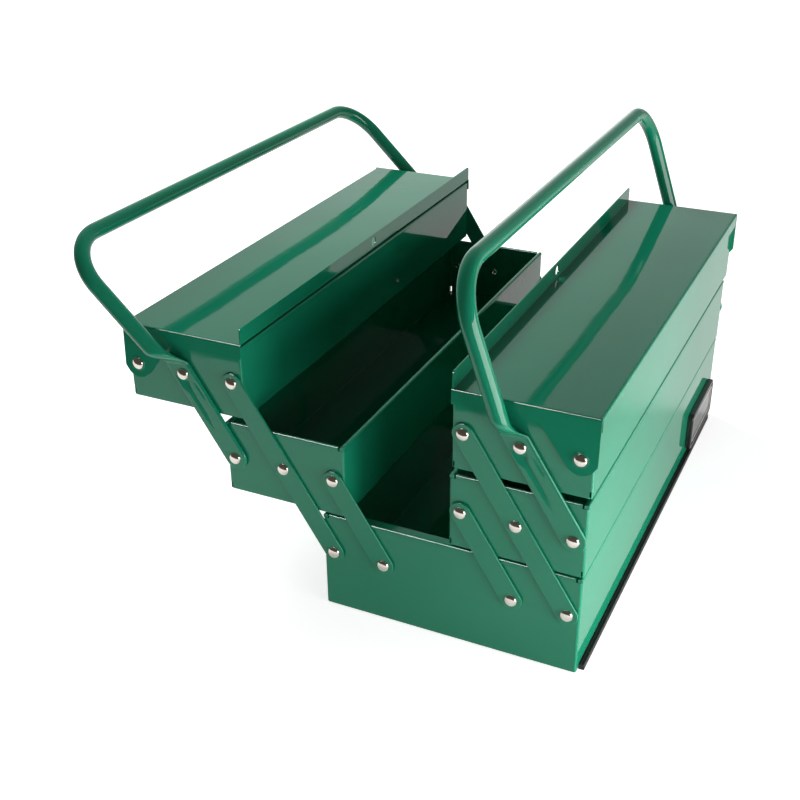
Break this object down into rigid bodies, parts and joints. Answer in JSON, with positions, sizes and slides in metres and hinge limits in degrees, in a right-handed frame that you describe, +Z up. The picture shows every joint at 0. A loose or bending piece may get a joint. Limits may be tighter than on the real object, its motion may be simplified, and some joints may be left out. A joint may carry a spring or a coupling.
{
  "type": "cantilever toolbox",
  "caption": "Sheet-steel cantilever toolbox: deep base box, middle trays and lidded upper trays on riveted parallel links, with two tube handles; one side swung open, the other shut.",
  "frame": {"origin": "centre of the base box's underside, where the box stands", "axes": "+Z up, +Y along the box's length, +X towards the side that is shut at rest"},
  "size_m": [0.4115, 0.469, 0.2996],
  "materials": {
    "green_paint": "high gloss, smooth",
    "nickel_plate": "bright polished nickel plate",
    "black_plastic": "satin",
    "black_gloss_plastic": "gloss, moulded"
  },
  "bodies": {
    "base": {"base_box": "green_paint", "trim_strip": "black_plastic", "badge_plate": "black_gloss_plastic", "rivet_long_link_bottom_near_left": "nickel_plate", "rivet_short_link_bottom_near_left": "nickel_plate", "rivet_long_link_bottom_far_left": "nickel_plate", "rivet_short_link_bottom_far_left": "nickel_plate", "rivet_long_link_bottom_near_right": "nickel_plate", "rivet_short_link_bottom_near_right": "nickel_plate", "rivet_long_link_bottom_far_right": "nickel_plate", "rivet_short_link_bottom_far_right": "nickel_plate"},
    "mid_tray_left": {"mid_tray_left": "green_paint", "rivet_handle_bottom_near_left": "nickel_plate", "rivet_long_link_middle_near_left": "nickel_plate", "rivet_short_link_top_near_left": "nickel_plate", "rivet_handle_bottom_far_left": "nickel_plate", "rivet_long_link_middle_far_left": "nickel_plate", "rivet_short_link_top_far_left": "nickel_plate"},
    "upper_tray_left": {"upper_tray_left": "green_paint", "rivet_lid_pivot_near_left": "nickel_plate", "rivet_handle_top_near_left": "nickel_plate", "rivet_long_link_top_near_left": "nickel_plate", "rivet_lid_pivot_far_left": "nickel_plate", "rivet_handle_top_far_left": "nickel_plate", "rivet_long_link_top_far_left": "nickel_plate"},
    "lid_left": {"lid_left": "green_paint"},
    "handle_left": {"handle_left": "green_paint"},
    "long_links_left": {"long_link_near_left": "green_paint", "long_link_far_left": "green_paint"},
    "short_links_left": {"short_link_near_left": "green_paint", "short_link_far_left": "green_paint"},
    "mid_tray_right": {"mid_tray_right": "green_paint", "rivet_handle_bottom_near_right": "nickel_plate", "rivet_long_link_middle_near_right": "nickel_plate", "rivet_short_link_top_near_right": "nickel_plate", "rivet_handle_bottom_far_right": "nickel_plate", "rivet_long_link_middle_far_right": "nickel_plate", "rivet_short_link_top_far_right": "nickel_plate"},
    "upper_tray_right": {"upper_tray_right": "green_paint", "rivet_lid_pivot_near_right": "nickel_plate", "rivet_handle_top_near_right": "nickel_plate", "rivet_long_link_top_near_right": "nickel_plate", "rivet_lid_pivot_far_right": "nickel_plate", "rivet_handle_top_far_right": "nickel_plate", "rivet_long_link_top_far_right": "nickel_plate"},
    "lid_right": {"lid_right": "green_paint"},
    "handle_right": {"handle_right": "green_paint"},
    "long_links_right": {"long_link_near_right": "green_paint", "long_link_far_right": "green_paint"},
    "short_links_right": {"short_link_near_right": "green_paint", "short_link_far_right": "green_paint"}
  },
  "joints": [
    {"name": "fold_left", "type": "hinge", "parent": "base", "child": "long_links_left", "pos_m": [-0.091, 0, 0.0503], "axis": [0, 1, 0], "range_deg": [0, 65]},
    {"name": "mid_tray_level_left", "type": "hinge", "parent": "long_links_left", "child": "mid_tray_left", "pos_m": [-0.13098, 0, 0.11305], "axis": [0, 1, 0], "range_deg": [-65, 0]},
    {"name": "upper_tray_level_left", "type": "hinge", "parent": "long_links_left", "child": "upper_tray_left", "pos_m": [-0.17095, 0, 0.1758], "axis": [0, 1, 0], "range_deg": [-65, 0]},
    {"name": "short_links_swing_left", "type": "hinge", "parent": "base", "child": "short_links_left", "pos_m": [-0.05, 0, 0.0503], "axis": [0, 1, 0], "range_deg": [0, 65]},
    {"name": "handle_swing_left", "type": "hinge", "parent": "upper_tray_left", "child": "handle_left", "pos_m": [-0.21195, 0, 0.1758], "axis": [0, 1, 0], "range_deg": [0, 65]},
    {"name": "lid_hinge_left", "type": "hinge", "parent": "upper_tray_left", "child": "lid_left", "pos_m": [-0.25295, 0, 0.1758], "axis": [0, -1, 0], "range_deg": [0, 87]},
    {"name": "fold_right", "type": "hinge", "parent": "base", "child": "long_links_right", "pos_m": [0.091, 0, 0.0503], "axis": [0, 1, 0], "range_deg": [0, 65]},
    {"name": "mid_tray_level_right", "type": "hinge", "parent": "long_links_right", "child": "mid_tray_right", "pos_m": [0.05103, 0, 0.11305], "axis": [0, 1, 0], "range_deg": [-65, 0]},
    {"name": "upper_tray_level_right", "type": "hinge", "parent": "long_links_right", "child": "upper_tray_right", "pos_m": [0.01105, 0, 0.1758], "axis": [0, 1, 0], "range_deg": [-65, 0]},
    {"name": "short_links_swing_right", "type": "hinge", "parent": "base", "child": "short_links_right", "pos_m": [0.05, 0, 0.0503], "axis": [0, 1, 0], "range_deg": [0, 65]},
    {"name": "handle_swing_right", "type": "hinge", "parent": "upper_tray_right", "child": "handle_right", "pos_m": [0.05205, 0, 0.1758], "axis": [0, 1, 0], "range_deg": [0, 65]},
    {"name": "lid_hinge_right", "type": "hinge", "parent": "upper_tray_right", "child": "lid_right", "pos_m": [0.09305, 0, 0.1758], "axis": [0, 1, 0], "range_deg": [0, 87]}
  ],
  "couplings": [
    {"joint": "mid_tray_level_left", "follows": "fold_left", "ratio": -1},
    {"joint": "upper_tray_level_left", "follows": "fold_left", "ratio": -1},
    {"joint": "short_links_swing_left", "follows": "fold_left", "ratio": 1},
    {"joint": "handle_swing_left", "follows": "fold_left", "ratio": 1},
    {"joint": "mid_tray_level_right", "follows": "fold_right", "ratio": -1},
    {"joint": "upper_tray_level_right", "follows": "fold_right", "ratio": -1},
    {"joint": "short_links_swing_right", "follows": "fold_right", "ratio": 1},
    {"joint": "handle_swing_right", "follows": "fold_right", "ratio": 1}
  ]
}
